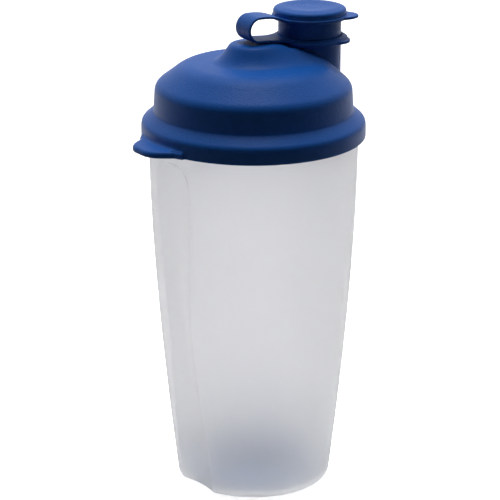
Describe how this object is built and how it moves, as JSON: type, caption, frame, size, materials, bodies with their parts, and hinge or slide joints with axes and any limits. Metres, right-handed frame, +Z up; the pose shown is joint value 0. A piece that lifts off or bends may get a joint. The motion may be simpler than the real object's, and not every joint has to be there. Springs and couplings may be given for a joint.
{
  "type": "cream shaker",
  "caption": "Hand shaker for cream: frosted tapered tumbler with finger flutes, domed push-on lid with a pour spout, tethered spout cap and a loose mixing wheel.",
  "frame": {"origin": "middle of the tumbler's flat underside, on the tumbler's axis", "axes": "+Z up along the tumbler's axis; +X from the axis towards the pour spout; the lid's pull tab points towards -X"},
  "size_m": [0.1011, 0.0924, 0.2009],
  "materials": {
    "frosted_polypropylene": "natural translucent polypropylene, evenly frosted, low sheen",
    "blue_polyethylene": "mid blue soft polyethylene with a fine spark-eroded grain and a satin sheen",
    "wheel_polypropylene": "blue moulded polypropylene, satin"
  },
  "bodies": {
    "tumbler": {"tumbler": "frosted_polypropylene"},
    "lid": {"lid": "blue_polyethylene"},
    "tether": {"tether_ring": "blue_polyethylene", "tether_strap": "blue_polyethylene"},
    "cap": {"spout_cap": "blue_polyethylene"},
    "wheel": {"mixing_wheel": "wheel_polypropylene"}
  },
  "joints": [
    {"name": "lid_lift", "type": "slide", "parent": "tumbler", "child": "lid", "axis": [0, 0, 1], "range_m": [0, 0.06]},
    {"name": "ring_swivel", "type": "hinge", "parent": "lid", "child": "tether", "pos_m": [0.0271, 0, 0.18667], "axis": [0, 0, 1], "continuous": true},
    {"name": "cap_flip", "type": "hinge", "parent": "tether", "child": "cap", "pos_m": [-0.0048, 0, 0.1946], "axis": [0, -1, 0], "range_deg": [0, 175], "deforming": ["tether_strap"]},
    {"name": "wheel_travel", "type": "slide", "parent": "tumbler", "child": "wheel", "axis": [0, 0, 1], "range_m": [0, 0.14]}
  ]
}
